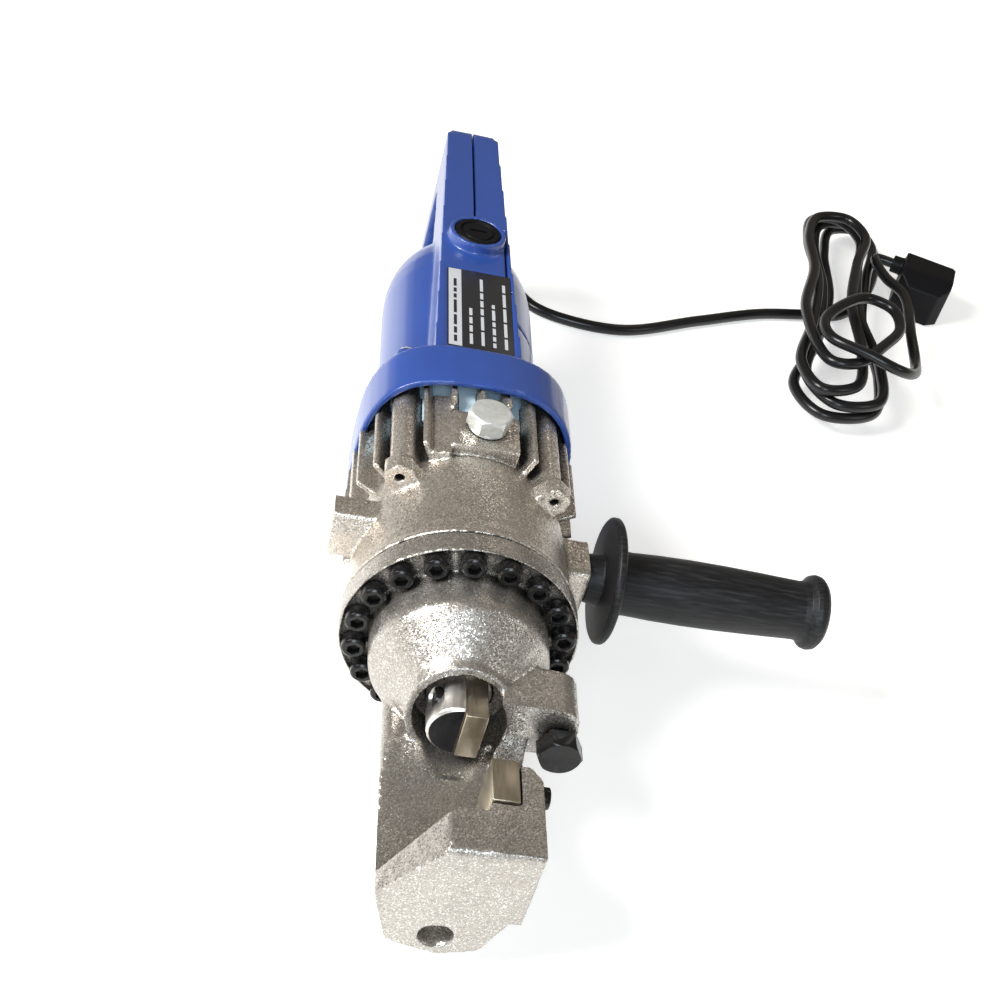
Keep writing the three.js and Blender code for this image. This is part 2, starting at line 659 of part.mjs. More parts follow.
// Everything that the housing and its side cover enclose, cut out before they are split.
function handleCavities() {
  const { y, capRadius } = BRUSH;
  const inside = barrelOutline(BARREL.inner, BARREL.front - 1, 222, 243, 24);
  return [
    turned(inside, { segments: 36 }),
    rod('y', 11.3, 242, 251.5, [0, 0, 0], 28),
    box(-12.5, 12.5, 262, 331, 32.6, 45),
    box(-7.6, 7.6, 271, 299.6, 14, 33),
    box(-5, 5, 234, 272, 23, 30),
    rod('z', 5.6, 12, 49, [0, y, 0], 20),
    rod('z', 5.6, -49, -12, [0, y, 0], 20),
    rod('z', capRadius + GAP, 47, 55, [0, y, 0], 24),
    rod('z', capRadius + GAP, -48, -38.6, [0, y, 0], 24),
    box(-15, 17, 134, 201, 46.9, 49),
    rod('y', CORD_RADIUS + GAP, 299, 340, [0, 0, CORD_EXIT.z], 12),
    rod('y', 6.8, 333, 350, [0, 0, CORD_EXIT.z]),
  ];
}

function housingScrewPillars() {
  const pillars = EAR.angles.map((angle) => roundAxis(
    join(rod('y', 6.2, 121.6, 133, [0, 0, EAR.circle], 20), box(-6.2, 6.2, 121.6, 133, 38, EAR.circle)),
    angle));
  return join(...pillars);
}

function housingBlank() {
  const { y, bossRadius } = BRUSH;
  const barrel = barrelOutline(BARREL.radius, BARREL.front, BARREL.roundFrom, BARREL.end, 26);
  const screwHoles = EAR.angles.map((angle) => roundAxis(
    rod('y', 2.4, 118, 134, [0, 0, EAR.circle], 12), angle));
  const outside = join(
    collarBand(),
    turned(barrel, { segments: 48 }),
    handleBlank(),
    housingScrewPillars(),
    rod('z', bossRadius, 40, 53.6, [0, y, 0], 32),
    rod('z', bossRadius, -44.8, -30, [0, y, 0], 32),
  );
  return cut(outside, ...handleCavities(), ...screwHoles);
}

// The side cover takes the right half of the handle and a panel of the barrel in front of it.
const coverRegion = (grow) => join(
  box(0.15 - grow, 60, 246 - grow, 360, -70, 70),
  box(15.3 - grow, 60, 188 - grow, 246.5, -70, 70),
);

const motorHousing = () => cut(housingBlank(), coverRegion(GAP));
const handleCover = () => housingBlank().intersect(coverRegion(0));

function housingScrew(angle) {
  const profile = [[0, 99], [2, 99], [2, 133.3], [4.3, 133.3], [4.3, 135.8], [3, 137.2], [0, 137.2]];
  const blank = turned(profile, { at: [0, 0, EAR.circle], segments: 12 });
  const slot = box(-5, 5, 136, 138, EAR.circle - 0.5, EAR.circle + 0.5);
  return roundAxis(cut(blank, slot), angle);
}

const labelPlate = () => box(-14.6, 16.6, 134.4, 200.6, 47.2, 47.9);

function trigger() {
  const side = new THREE.Shape();
  side.moveTo(272, 26);
  side.lineTo(272, 12);
  side.quadraticCurveTo(272, 5, 279, 6);
  side.quadraticCurveTo(290, 9, 298.5, 15);
  side.lineTo(298.5, 26);
  return prismX(side, -7.2, 7.2);
}

const switchBody = () => box(-11, 11, 268, 302, 33, 44.6);

// ---------------------------------------------------------------- side handle and cord

function sideHandle() {
  const profile = [
    [0, 44], [4.9, 44], [4.9, 55.8], [10.5, 55.8], [11.5, 62.8], [26.5, 64.2], [28, 65.2], [28, 67.2],
    [27, 68], [15.4, 69], [14, 71], [14.6, 100], [14.4, 130], [13.4, 152], [13.6, 156], [16.2, 158.2],
    [16.9, 160.5], [16.4, 163], [14.6, 164.6], [9, 165.6], [0, 166],
  ];
  return turned(profile, { axis: 'x', at: [0, SIDE_HANDLE_Y, 0], segments: 24 });
}

function strainRelief() {
  const bore = CORD_RADIUS + 0.5;
  const profile = [
    [bore, 341], [6.4, 341], [6.4, 347], [7.4, 347.4], [7.4, 349], [5.6, 350], [5.1, 355],
    [bore, 355], [bore, 341],
  ];
  return turned(profile, { at: [0, 0, CORD_EXIT.z], segments: 14 });
}

// The cord leaves the handle, crosses the floor and is laid up in a hank: long narrow-waisted
// loops stacked one on another, a wrap laid round their waist, and a tail to the plug.
const HANK = { x: 273, y: 390, lean: 0.2, reach: 124, waistHalf: 12, upBulge: 31, downBulge: 60 };

function hankPoint(turn) {
  const [sine, cosine] = [Math.sin(2 * Math.PI * turn), Math.cos(2 * Math.PI * turn)];
  const along = (1 - 0.03 * turn) * HANK.reach * sine;
  const bulge = sine > 0 ? HANK.upBulge : HANK.downBulge;
  const across = cosine * (HANK.waistHalf + bulge * sine ** 2) + 8 - 10 * turn;
  const lift = 7.2 * turn + 3.6 * Math.min(1, 3 * turn);
  return [HANK.x + across + HANK.lean * along, HANK.y + along, FLOOR_Z + CORD_RADIUS + lift];
}

function cordPath() {
  const floor = FLOOR_Z + CORD_RADIUS;
  const lead = [
    [0, 301, CORD_EXIT.z], [0, 325, CORD_EXIT.z], [0, 345, CORD_EXIT.z], [0, 359, CORD_EXIT.z],
    [9, 377, -50], [29, 379, floor], [47, 360, floor], [60, 342, floor], [80, 334, floor],
    [115, 334, floor], [166, 360, floor], [210, 382, floor], [240, 391, floor], [268, 399, floor],
  ];
  const turns = Array.from({ length: 19 }, (_, i) => hankPoint(0.06 + i / 12));
  const wrap = [
    [246, 322, -38], [260, 320, -36], [282, 342, -34], [298, 366, -34], [297, 385, -33],
    [282, 391, -32], [262, 376, -31], [245, 352, -31], [246, 333, -30.5], [264, 321, -29.5],
    [284, 315, -32], [300, 327, -40], [307, 350, -46], [306, 374, -43],
  ];
  const tail = [
    [301, 400, -37], [292, 425, -36], [290, 443, -35.5], [295.5, 453.5, -36.5], [304.5, 451.4, -36.5],
  ];
  const path = [...lead, ...turns, ...wrap, ...tail, MAINS_PLUG.cordEnd];
  return path.map((point) => new THREE.Vector3(...point));
}

const powerCord = () => tube(cordPath(), CORD_RADIUS, 170, 3);

// Angled two-pin plug lying on its side, its cord entering from the left.
const MAINS_PLUG = { at: [328.5, 431], turn: -20, height: 31, cordEnd: [311.1, 449, -36.5] };

function mainsPlug() {
  const { at, turn, height } = MAINS_PLUG;
  const body = shapeOf([
    [-17, -11], [-10, -18], [10, -18], [17, -11], [17, 13], [13, 18], [-13, 18], [-17, 14],
  ]);
  const side = [[-18, 0.3], [18, 0.3], [18, height - 3], [15, height], [-6, height], [-18, height - 8]];
  const pins = [-9.5, 9.5].map((x) => rod('y', 2.4, 16, 37, [x, 0, 14], 10));
  const collar = rod('x', 6, -24, -15, [0, 11, 21], 12);
  const socket = rod('x', CORD_RADIUS + 2 * GAP, -25, -17.5, [0, 11, 21], 12);
  const flat = join(prismZ(body, 0, height).intersect(prismX(side, -30, 30)), collar, ...pins);
  const geometry = geometryOf(cut(flat, socket));
  return solid(geometry.rotateZ(degrees(turn)).translate(at[0], at[1], FLOOR_Z));
}

// ---------------------------------------------------------------- materials and assembly

const finish = (color, roughness, metalness) => () => new THREE.MeshStandardMaterial(
  { color, roughness, metalness });

const castSteel = finish(0xb0aca6, 0.42, 0.85);
const castAluminium = finish(0x7a7268, 0.5, 0.8);
const toolSteel = finish(0x8f8878, 0.3, 0.95);
const chrome = finish(0xd8d8d8, 0.12, 1);
const blackOxide = finish(0x161616, 0.42, 0.5);
const zinc = finish(0xc9ccc8, 0.28, 0.95);
const gearSteel = finish(0x8a8d90, 0.35, 0.9);
const bluePlastic = finish(0x2646a0, 0.3, 0);
const blackPlastic = finish(0x17181a, 0.55, 0);
const blackRubber = finish(0x101010, 0.6, 0);
const clearBlue = finish(0xa9cfe6, 0.3, 0);
const copper = finish(0xa8693a, 0.4, 0.8);
const carbon = finish(0x2a2a2a, 0.8, 0.1);
const labelFoil = finish(0x222222, 0.35, 0.2);

const tool = new THREE.Group();
tool.position.set(0, -NOSE_Y, 0);

function group(name) {
  const child = new THREE.Group();
  child.name = name;
  tool.add(child);
  return (node, body, material) => {
    const mesh = new THREE.Mesh(geometryOf(body), material());
    mesh.name = node;
    child.add(mesh);
  };
}

const head = group('head_group');
head('cutter_head', cutterHead(), castSteel);
head('fixed_blade', fixedBlade(), toolSteel);
head('fixed_blade_screw', fixedBladeScrew(), blackOxide);
head('stopper_bolt', stopperBolt(), blackOxide);
const screwBlank = flangeScrew();
boltAngles().forEach((angle, i) => {
  head(`flange_screw_${String(i + 1).padStart(2, '0')}`, roundAxis(screwBlank, angle), blackOxide);
});

const ram = group('piston_group');
ram('piston', piston(), chrome);
ram('moving_blade', movingBlade(), toolSteel);
ram('moving_blade_screw', movingBladeScrew(), blackOxide);
ram('piston_seal', pistonSeal(), blackRubber);
ram('return_spring', returnSpring(), gearSteel);

const pump = group('pump_group');
pump('pump_casing', pumpCasing(), castAluminium);
pump('oil_plug', oilPlug(), zinc);
pump('oil_plug_washer', oilPlugWasher(), zinc);
pump('release_valve', releaseValve(), blackOxide);
pump('pump_plunger', pumpPlunger(), gearSteel);
pump('eccentric_shaft', eccentricShaft(), gearSteel);
pump('eccentric_bearing', eccentricBearing(), gearSteel);
pump('output_gear', outputGear(), gearSteel);
pump('intermediate_gear', intermediateGear(), gearSteel);
pump('gear_cover', gearCover(), castAluminium);

const motor = group('motor_group');
motor('armature', armature(), copper);
motor('stator', stator(), gearSteel);
motor('fan', fan(), blackPlastic);
motor('fan_baffle', fanBaffle(), clearBlue);
motor('front_bearing', bearing(4.3, 11, 96.6, 101.2), gearSteel);
motor('rear_bearing', bearing(4.3, 11, 243.5, 250), gearSteel);
motor('brush_top', carbonBrush(1), carbon);
motor('brush_bottom', carbonBrush(-1), carbon);
motor('brush_cap_top', brushCap(1, 53.6), blackPlastic);
motor('brush_cap_bottom', brushCap(-1, 45), blackPlastic);

const shell = group('housing_group');
shell('motor_housing', motorHousing(), bluePlastic);
shell('handle_cover', handleCover(), bluePlastic);
EAR.angles.forEach((angle, i) => shell(`housing_screw_${i + 1}`, housingScrew(angle), zinc));
shell('label_plate', labelPlate(), labelFoil);
shell('trigger', trigger(), blackPlastic);
shell('switch_body', switchBody(), blackPlastic);

const trim = group('handle_and_cord_group');
trim('side_handle', sideHandle(), blackPlastic);
trim('strain_relief', strainRelief(), blackRubber);
trim('power_cord', powerCord(), blackRubber);
trim('mains_plug', mainsPlug(), blackPlastic);

export default tool;
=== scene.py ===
# Looks of a portable electro-hydraulic bar shear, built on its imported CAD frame.
#
# Lengths in this script are millimetres in the layout frame: its origin lies on the cylinder axis
# inside the flange, -Y points to the nose, +Z up, +X to the side handle. at() turns them into
# metres in the row frame.

import json
import math
import random

import bmesh
import bpy
from mathutils import Matrix, Vector


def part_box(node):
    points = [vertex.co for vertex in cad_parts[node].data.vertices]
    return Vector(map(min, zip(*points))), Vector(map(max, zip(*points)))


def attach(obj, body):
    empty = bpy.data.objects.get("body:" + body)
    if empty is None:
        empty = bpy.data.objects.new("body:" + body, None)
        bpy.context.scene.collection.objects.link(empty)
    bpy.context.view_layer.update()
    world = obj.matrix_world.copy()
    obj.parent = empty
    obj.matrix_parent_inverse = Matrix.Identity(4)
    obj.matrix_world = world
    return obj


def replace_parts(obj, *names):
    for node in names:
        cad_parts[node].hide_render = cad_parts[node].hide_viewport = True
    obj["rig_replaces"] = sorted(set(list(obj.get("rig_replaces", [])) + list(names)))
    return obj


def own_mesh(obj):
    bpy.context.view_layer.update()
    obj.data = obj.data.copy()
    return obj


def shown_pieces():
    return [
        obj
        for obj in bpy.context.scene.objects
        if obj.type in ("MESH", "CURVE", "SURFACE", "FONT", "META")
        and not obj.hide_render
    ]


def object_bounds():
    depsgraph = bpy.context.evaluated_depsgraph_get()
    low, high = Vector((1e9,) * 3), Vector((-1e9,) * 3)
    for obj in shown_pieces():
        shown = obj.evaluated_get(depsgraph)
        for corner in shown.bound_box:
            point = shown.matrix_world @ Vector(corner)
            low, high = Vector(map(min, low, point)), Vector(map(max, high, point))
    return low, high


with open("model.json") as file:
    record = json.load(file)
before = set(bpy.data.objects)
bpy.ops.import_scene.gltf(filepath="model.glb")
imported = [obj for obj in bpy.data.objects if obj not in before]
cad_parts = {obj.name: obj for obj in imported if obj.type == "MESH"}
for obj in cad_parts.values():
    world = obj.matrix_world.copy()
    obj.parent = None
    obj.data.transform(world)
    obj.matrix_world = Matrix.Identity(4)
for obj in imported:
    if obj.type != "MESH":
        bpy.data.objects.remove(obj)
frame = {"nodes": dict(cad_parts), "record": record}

cad_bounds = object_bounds()
record = frame["record"]
BODY = {node: body for body, nodes in record["behaviour"]["bodies"].items() for node in nodes}
SLOT = {entry["node"]: entry["material_slot"] for entry in record["subparts"]}

MM = 0.001
CASING_FRONT = 7.8  # the casing's front face in the layout frame
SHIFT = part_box("pump_casing")[0].y / MM - CASING_FRONT  # layout frame to row frame, along Y

CORD_RADIUS = 3.4
CORD_EXIT_Z = -47  # where the cord leaves the handle
FLOOR_Z = -57.5


def at(x, y, z):
    """A place in the layout frame, in metres in the row frame."""
    return Vector((x, y + SHIFT, z)) * MM


def centre(node):
    """The middle of a node's box, in the layout frame."""
    low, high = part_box(node)
    middle = (low + high) / (2 * MM)
    return middle.x, middle.y - SHIFT, middle.z


# ---------------------------------------------------------------- node-based materials


class Paint:
    """A procedural material: a Principled shader and small helpers that add nodes to it."""

    def __init__(self, name, metallic=0.0, roughness=0.5, **inputs):
        self.material = bpy.data.materials.new(name)
        self.material.use_nodes = True
        self.tree = self.material.node_tree
        self.shader = self.tree.nodes["Principled BSDF"]
        self.place = self.tree.nodes.new("ShaderNodeTexCoord").outputs["Object"]
        self.set("Metallic", metallic)
        self.set("Roughness", roughness)
        for label, value in inputs.items():
            self.set(label.replace("_", " "), value)

    def feed(self, target, value):
        """Links an output to the input `target`, or gives the input a value of its own."""
        if isinstance(value, bpy.types.NodeSocket):
            self.tree.links.new(value, target)
        else:
            target.default_value = value

    def set(self, label, value):
        self.feed(self.shader.inputs[label], value)

    def node(self, kind, settings=None, **inputs):
        made = self.tree.nodes.new(kind)
        for label, value in (settings or {}).items():
            setattr(made, label, value)
        for label, value in inputs.items():
            self.feed(made.inputs[label.replace("_", " ")], value)
        return made

    def stretched(self, x, y, z):
        return self.node("ShaderNodeMapping", Vector=self.place, Scale=(x, y, z)).outputs["Vector"]

    def noise(self, size, detail=3.0, place=None):
        """Noise whose features are about `size` millimetres across, from 0 to 1."""
        scale = 1 / (size * MM)
        made = self.node("ShaderNodeTexNoise", Vector=place or self.place, Scale=scale, Detail=detail)
        return made.outputs["Fac"]

    def grains(self, size):
        """Three random values for each grain of about `size` millimetres."""
        made = self.node("ShaderNodeTexVoronoi", Vector=self.place, Scale=1 / (size * MM))
        return self.node("ShaderNodeSeparateColor", Color=made.outputs["Color"]).outputs[:3]

    def ramp(self, value, *stops):
        made = self.node("ShaderNodeValToRGB", Fac=value)
        ramp = made.color_ramp
        while len(ramp.elements) < len(stops):
            ramp.elements.new(0.5)
        for element, (position, colour) in zip(ramp.elements, stops):
            element.position = position
            grey = colour if isinstance(colour, tuple) else (colour,) * 3
            element.color = (*grey, 1)
        return made.outputs["Color"]

    def span(self, value, low, high, start=0.0, end=1.0):
        """`value` between `start` and `end`, spread over the range from `low` to `high`."""
        made = self.node("ShaderNodeMapRange", Value=value)
        for label, number in (("From Min", start), ("From Max", end), ("To Min", low), ("To Max", high)):
            self.feed(made.inputs[label], number)
        return made.outputs["Result"]

    def multiply(self, a, b):
        made = self.node("ShaderNodeMix", {"data_type": "RGBA", "blend_type": "MULTIPLY"}, Factor=1.0)
        first, second = [socket for socket in made.inputs if socket.type == "RGBA"]
        self.feed(first, a)
        self.feed(second, b)
        return [socket for socket in made.outputs if socket.type == "RGBA"][0]

    def tilted(self, size, amount):
        """Normals that lean by a random amount on each grain, so that some grains glint."""
        cells = self.node("ShaderNodeTexVoronoi", Vector=self.place, Scale=1 / (size * MM))
        lean = self.node("ShaderNodeVectorMath", {"operation": "MULTIPLY_ADD"})
        self.feed(lean.inputs[0], cells.outputs["Color"])
        self.feed(lean.inputs[1], (amount,) * 3)
        self.feed(lean.inputs[2], (-amount / 2,) * 3)
        total = self.node("ShaderNodeVectorMath", {"operation": "ADD"})
        self.feed(total.inputs[0], lean.outputs[0])
        self.feed(total.inputs[1], self.node("ShaderNodeNewGeometry").outputs["Normal"])
        unit = self.node("ShaderNodeVectorMath", {"operation": "NORMALIZE"})
        self.feed(unit.inputs[0], total.outputs[0])
        return unit.outputs[0]

    def relief(self, height, depth, strength, under=None):
        """Bumps `depth` millimetres high from `height`, on top of the normals `under` them."""
        made = self.node("ShaderNodeBump", Height=height, Strength=strength, Distance=depth * MM)
        if under is not None:
            self.feed(made.inputs["Normal"], under)
        normal = made.outputs["Normal"]
        self.set("Normal", normal)
        return normal


PAINTED_SHADE_REACH = 7  # how far from a corner the painted shade on a casting reaches


def cast_metal(name, dark, middle, bright, grain, roughness, tilt):
    """Blasted casting: every grain has its own brightness and gloss, and painted shade darkens the corners.
    """
    paint = Paint(name, 0.9)
    shade, gloss, _ = paint.grains(grain)
    tone = paint.ramp(shade, (0.0, dark), (0.55, middle), (0.8, middle), (1.0, bright))
    # Painted shade: ambient occlusion darkens the base colour in corners and hollows.
    corners = paint.node("ShaderNodeAmbientOcclusion", {"samples": 6}, Distance=PAINTED_SHADE_REACH * MM)
    painted_shade = paint.ramp(corners.outputs["AO"], (0.25, 0.16), (0.8, 1.0))
    clouds = paint.ramp(paint.noise(22), (0.3, 0.85), (0.7, 1.0))
    paint.set("Base Color", paint.multiply(paint.multiply(tone, clouds), painted_shade))
    paint.set("Roughness", paint.span(gloss, roughness - 0.14, roughness + 0.16))
    paint.relief(paint.noise(2.4, 4), 0.25, 0.45, paint.tilted(grain, tilt))
    return paint.material


def ground_steel(name, colour, roughness, along=(1.0, 1.0, 1.0), metallic=1.0):
    """Machined steel with fine lines; `along` stretches the lines' noise on each axis."""
    paint = Paint(name, metallic)
    lines = paint.noise(1.0, 4, paint.stretched(*along))
    tone = paint.ramp(lines, (0.25, tuple(c * 0.78 for c in colour)), (0.75, colour))
    stain = paint.ramp(paint.noise(6), (0.35, 0.86), (0.65, 1.0))
    paint.set("Base Color", paint.multiply(tone, stain))
    paint.set("Roughness", paint.span(lines, roughness - 0.06, roughness + 0.08))
    paint.relief(lines, 0.02, 0.5)
    return paint.material


def moulded(name, colour, roughness, texture=0.6, depth=0.03, coat=0.0, **inputs):
    """Moulded plastic or rubber with fine surface texture and slight tone changes."""
    paint = Paint(name, **inputs)
    tone = paint.ramp(paint.noise(30), (0.35, tuple(c * 0.9 for c in colour)), (0.65, colour))
    paint.set("Base Color", tone)
    fine = paint.noise(texture, 3)
    paint.set("Roughness", paint.span(fine, roughness - 0.04, roughness + 0.06))
    paint.set("Coat Weight", coat)
    paint.set("Coat Roughness", 0.12)
    paint.relief(fine, depth, 0.5)
    return paint.material


def scuffed_grip(name):
    """Matt black grip with pale scuffs that run along the handle."""
    paint = Paint(name, Specular_IOR_Level=0.3)
    streaks = paint.noise(1.0, 5, paint.stretched(0.08, 0.9, 0.9))
    tone = paint.ramp(streaks, (0.45, (0.005, 0.005, 0.006)), (0.75, (0.025, 0.025, 0.027)))
    paint.set("Base Color", tone)
    paint.set("Roughness", paint.span(streaks, 0.38, 0.62))
    fine = paint.relief(paint.noise(0.7, 3), 0.05, 0.6)
    paint.relief(streaks, 0.08, 0.6, fine)
    return paint.material


def clear_plastic(name):
    """Pale blue plastic that lets a little light through."""
    paint = Paint(name, roughness=0.3, Transmission_Weight=0.15, IOR=1.45)
    tone = paint.ramp(paint.noise(12), (0.3, (0.46, 0.68, 0.84)), (0.7, (0.66, 0.84, 0.95)))
    paint.set("Base Color", tone)
    paint.relief(paint.noise(1.5), 0.03, 0.4)
    return paint.material


def studio_floor(name):
    """Overexposed white paper: it glows a little, and more far off, where no lamp reaches it."""
    paint = Paint(name, roughness=0.9, Specular_IOR_Level=0.1)
    tone = paint.ramp(paint.noise(90), (0.3, (0.80, 0.79, 0.76)), (0.7, (0.82, 0.81, 0.78)))
    paint.set("Base Color", tone)
    paint.set("Emission Color", (0.985, 0.99, 1.0, 1))
    distance = paint.node("ShaderNodeVectorMath", {"operation": "LENGTH"})
    paint.feed(distance.inputs[0], paint.place)
    paint.set("Emission Strength", paint.span(distance.outputs["Value"], 0.52, 0.76, start=1.0, end=3.5))
    return paint.material


MATERIAL = {
    "cast_head": cast_metal(
        "cast_head", dark=(0.34, 0.315, 0.285), middle=(0.48, 0.448, 0.41), bright=(0.84, 0.82, 0.79),
        grain=0.45, roughness=0.34, tilt=0.30),
    "cast_casing": cast_metal(
        "cast_casing", dark=(0.34, 0.305, 0.265), middle=(0.68, 0.62, 0.55), bright=(0.95, 0.91, 0.86),
        grain=0.45, roughness=0.36, tilt=0.32),
    "blade_steel": ground_steel("blade_steel", (0.58, 0.51, 0.40), 0.36, along=(1.0, 0.12, 1.0)),
    "chrome_rod": ground_steel("chrome_rod", (0.86, 0.83, 0.79), 0.34, along=(1.0, 0.08, 1.0)),
    "rod_end": ground_steel("rod_end", (0.045, 0.045, 0.05), 0.34, along=(1.0, 1.0, 0.3), metallic=0.8),
    "black_oxide": ground_steel("black_oxide", (0.022, 0.021, 0.021), 0.24, metallic=0.6),
    "zinc_plate": ground_steel("zinc_plate", (0.86, 0.87, 0.84), 0.32, along=(0.5, 0.5, 1.0), metallic=0.6),
    "gear_steel": ground_steel("gear_steel", (0.42, 0.43, 0.44), 0.34, along=(1.0, 0.3, 1.0)),
    "copper_winding": ground_steel("copper_winding", (0.48, 0.20, 0.07), 0.36, along=(1.0, 0.2, 1.0)),
    "blue_housing": moulded("blue_housing", (0.022, 0.062, 0.27), 0.30, texture=0.9, depth=0.02, coat=0.35),
    "black_plastic": moulded(
        "black_plastic", (0.005, 0.005, 0.006), 0.42, depth=0.04, Specular_IOR_Level=0.12),
    "black_rubber": moulded(
        "black_rubber", (0.005, 0.005, 0.006), 0.30, texture=0.8, coat=0.1, Specular_IOR_Level=0.35),
    "black_grip": scuffed_grip("black_grip"),
    "clear_blue": clear_plastic("clear_blue"),
    "carbon": moulded("carbon", (0.03, 0.03, 0.03), 0.7),
    "label": moulded("label", (0.016, 0.016, 0.018), 0.35, texture=0.5, depth=0.01),
    "label_white": moulded("label_white", (0.50, 0.51, 0.53), 0.35, texture=0.5, depth=0.01),
}

# ---------------------------------------------------------------- meshes


def fillet(profile, radius):
    """The open outline with every corner inside it rounded, by at most `radius`."""
    steps = 4
    points = [Vector(point) for point in profile]
    rounded = [points[0]]
    for before, corner, after in zip(points, points[1:], points[2:]):
        back, onward = before - corner, after - corner
        if back.length < 1e-6 or onward.length < 1e-6:
            continue
        turn = math.pi - back.angle(onward)
        if turn < math.radians(12):
            rounded.append(corner)
            continue
        reach = min(radius * math.tan(turn / 2), 0.45 * back.length, 0.45 * onward.length)
        start, end = corner + back.normalized() * reach, corner + onward.normalized() * reach
        for i in range(steps + 1):
            share = i / steps
            rounded.append(start.lerp(corner, share).lerp(corner.lerp(end, share), share))
    rounded.append(points[-1])
    return [tuple(point) for point in rounded]


def frame_along(axis):
    """Turns a shape built round the Y axis so that it lies round `axis`."""
    return {
        "y": Matrix.Identity(3),
        "x": Matrix.Rotation(-math.pi / 2, 3, "Z"),
        "z": Matrix.Rotation(math.pi / 2, 3, "X"),
    }[axis]


def lathe(profile, axis, place, segments=96, radius=0.0):
    """Turned mesh from a profile of (radius, position along the axis), its corners rounded."""
    outline = fillet(profile, radius) if radius else profile
    turn, origin = frame_along(axis), at(*place)
    mesh = bmesh.new()
    rings = []
    for reach, along in outline:
        count = 1 if reach < 1e-6 else segments
        circle = []
        for i in range(count):
            angle = 2 * math.pi * i / segments
            point = Vector((reach * math.sin(angle), along, reach * math.cos(angle)))
            circle.append(mesh.verts.new(origin + (turn @ point) * MM))
        rings.append(circle)
    pairs = list(zip(rings, rings[1:]))
    if len(rings[0]) > 1:
        pairs.append((rings[-1], rings[0]))
    for one, other in pairs:
        for i in range(segments):
            j = (i + 1) % segments
            corners = [one[i % len(one)], one[j % len(one)], other[j % len(other)], other[i % len(other)]]
            unique = list(dict.fromkeys(corners))
            if len(unique) > 2:
                mesh.faces.new(unique)
    bmesh.ops.remove_doubles(mesh, verts=mesh.verts, dist=1e-7)
    bmesh.ops.recalc_face_normals(mesh, faces=mesh.faces)
    return mesh


def prism(outline, axis, low, high):
    """Closed prism: an outline across `axis`, "y" or "z", from `low` to `high` along it."""
    mesh = bmesh.new()

    def point(u, v, w):
        return at(u, w, v) if axis == "y" else at(u, v, w)

    bottom = [mesh.verts.new(point(u, v, low)) for u, v in outline]
    top = [mesh.verts.new(point(u, v, high)) for u, v in outline]
    mesh.faces.new(bottom)
    mesh.faces.new(top)
    for i in range(len(outline)):
        j = (i + 1) % len(outline)
        mesh.faces.new([bottom[i], bottom[j], top[j], top[i]])
    bmesh.ops.recalc_face_normals(mesh, faces=mesh.faces)
    return mesh


def regular(sides, across_flats, turn=0.0, place=(0, 0)):
    """Corners of a regular polygon, `turn` degrees round from its first corner."""
    reach = across_flats / 2 / math.cos(math.pi / sides)
    angles = [math.radians(turn) + 2 * math.pi * i / sides for i in range(sides)]
    return [(place[0] + reach * math.cos(a), place[1] + reach * math.sin(a)) for a in angles]


def rectangle(u0, u1, v0, v1):
    return [(u0, v0), (u1, v0), (u1, v1), (u0, v1)]


def centripetal(points, step):
    """Centripetal Catmull-Rom curve through the points, sampled about every `step`."""
    ends = [2 * points[0] - points[1], *points, 2 * points[-1] - points[-2]]
    curve = []
    for p0, p1, p2, p3 in zip(ends, ends[1:], ends[2:], ends[3:]):
        t1 = (p1 - p0).length ** 0.5
        t2 = t1 + (p2 - p1).length ** 0.5
        t3 = t2 + (p3 - p2).length ** 0.5
        count = max(2, round((p2 - p1).length / step))
        for i in range(count):
            t = t1 + (t2 - t1) * i / count
            a1 = p0.lerp(p1, t / t1)
            a2 = p1.lerp(p2, (t - t1) / (t2 - t1))
            a3 = p2.lerp(p3, (t - t2) / (t3 - t2))
            b1 = a1.lerp(a2, t / t2)
            b2 = a2.lerp(a3, (t - t1) / (t3 - t1))
            curve.append(b1.lerp(b2, (t - t1) / (t2 - t1)))
    curve.append(points[-1])
    return curve


def sweep(path, radius, sides):
    """Closed round tube of `radius` along a path, without twist."""
    mesh = bmesh.new()
    side = Vector((0, 0, 1))
    rings = []
    for i, point in enumerate(path):
        ahead = path[min(i + 1, len(path) - 1)] - path[max(i - 1, 0)]
        ahead.normalize()
        side = (side - ahead * side.dot(ahead)).normalized()
        other = ahead.cross(side)
        ring = []
        for k in range(sides):
            angle = 2 * math.pi * k / sides
            offset = side * math.cos(angle) + other * math.sin(angle)
            ring.append(mesh.verts.new(at(*(point + offset * radius))))
        rings.append(ring)
    for one, two in zip(rings, rings[1:]):
        for k in range(sides):
            j = (k + 1) % sides
            mesh.faces.new([one[k], one[j], two[j], two[k]])
    mesh.faces.new(rings[0])
    mesh.faces.new(rings[-1])
    bmesh.ops.recalc_face_normals(mesh, faces=mesh.faces)
    return mesh


def new_object(name, mesh):
    data = bpy.data.meshes.new(name)
    mesh.to_mesh(data)
    mesh.free()
    made = bpy.data.objects.new(name, data)
    bpy.context.scene.collection.objects.link(made)
    return made


def bake(piece):
    """Applies the piece's modifiers to its mesh."""
    bpy.context.view_layer.update()
    graph = bpy.context.evaluated_depsgraph_get()
    baked = bpy.data.meshes.new_from_object(piece.evaluated_get(graph))
    piece.modifiers.clear()
    piece.data = baked
    return piece


def boolean(piece, mesh, operation="DIFFERENCE"):
    tool = new_object("tool", mesh)
    step = piece.modifiers.new("cut", "BOOLEAN")
    step.operation = operation
    step.solver = "EXACT"
    step.object = tool
    bake(piece)
    bpy.data.objects.remove(tool)


def soften(piece, width, segments=3):
    """Rounds the edges that turn by more than 28 degrees by `width` millimetres."""
    step = piece.modifiers.new("edge", "BEVEL")
    step.width = width * MM
    step.segments = segments
    step.limit_method = "ANGLE"
    step.angle_limit = math.radians(28)
    return bake(piece)


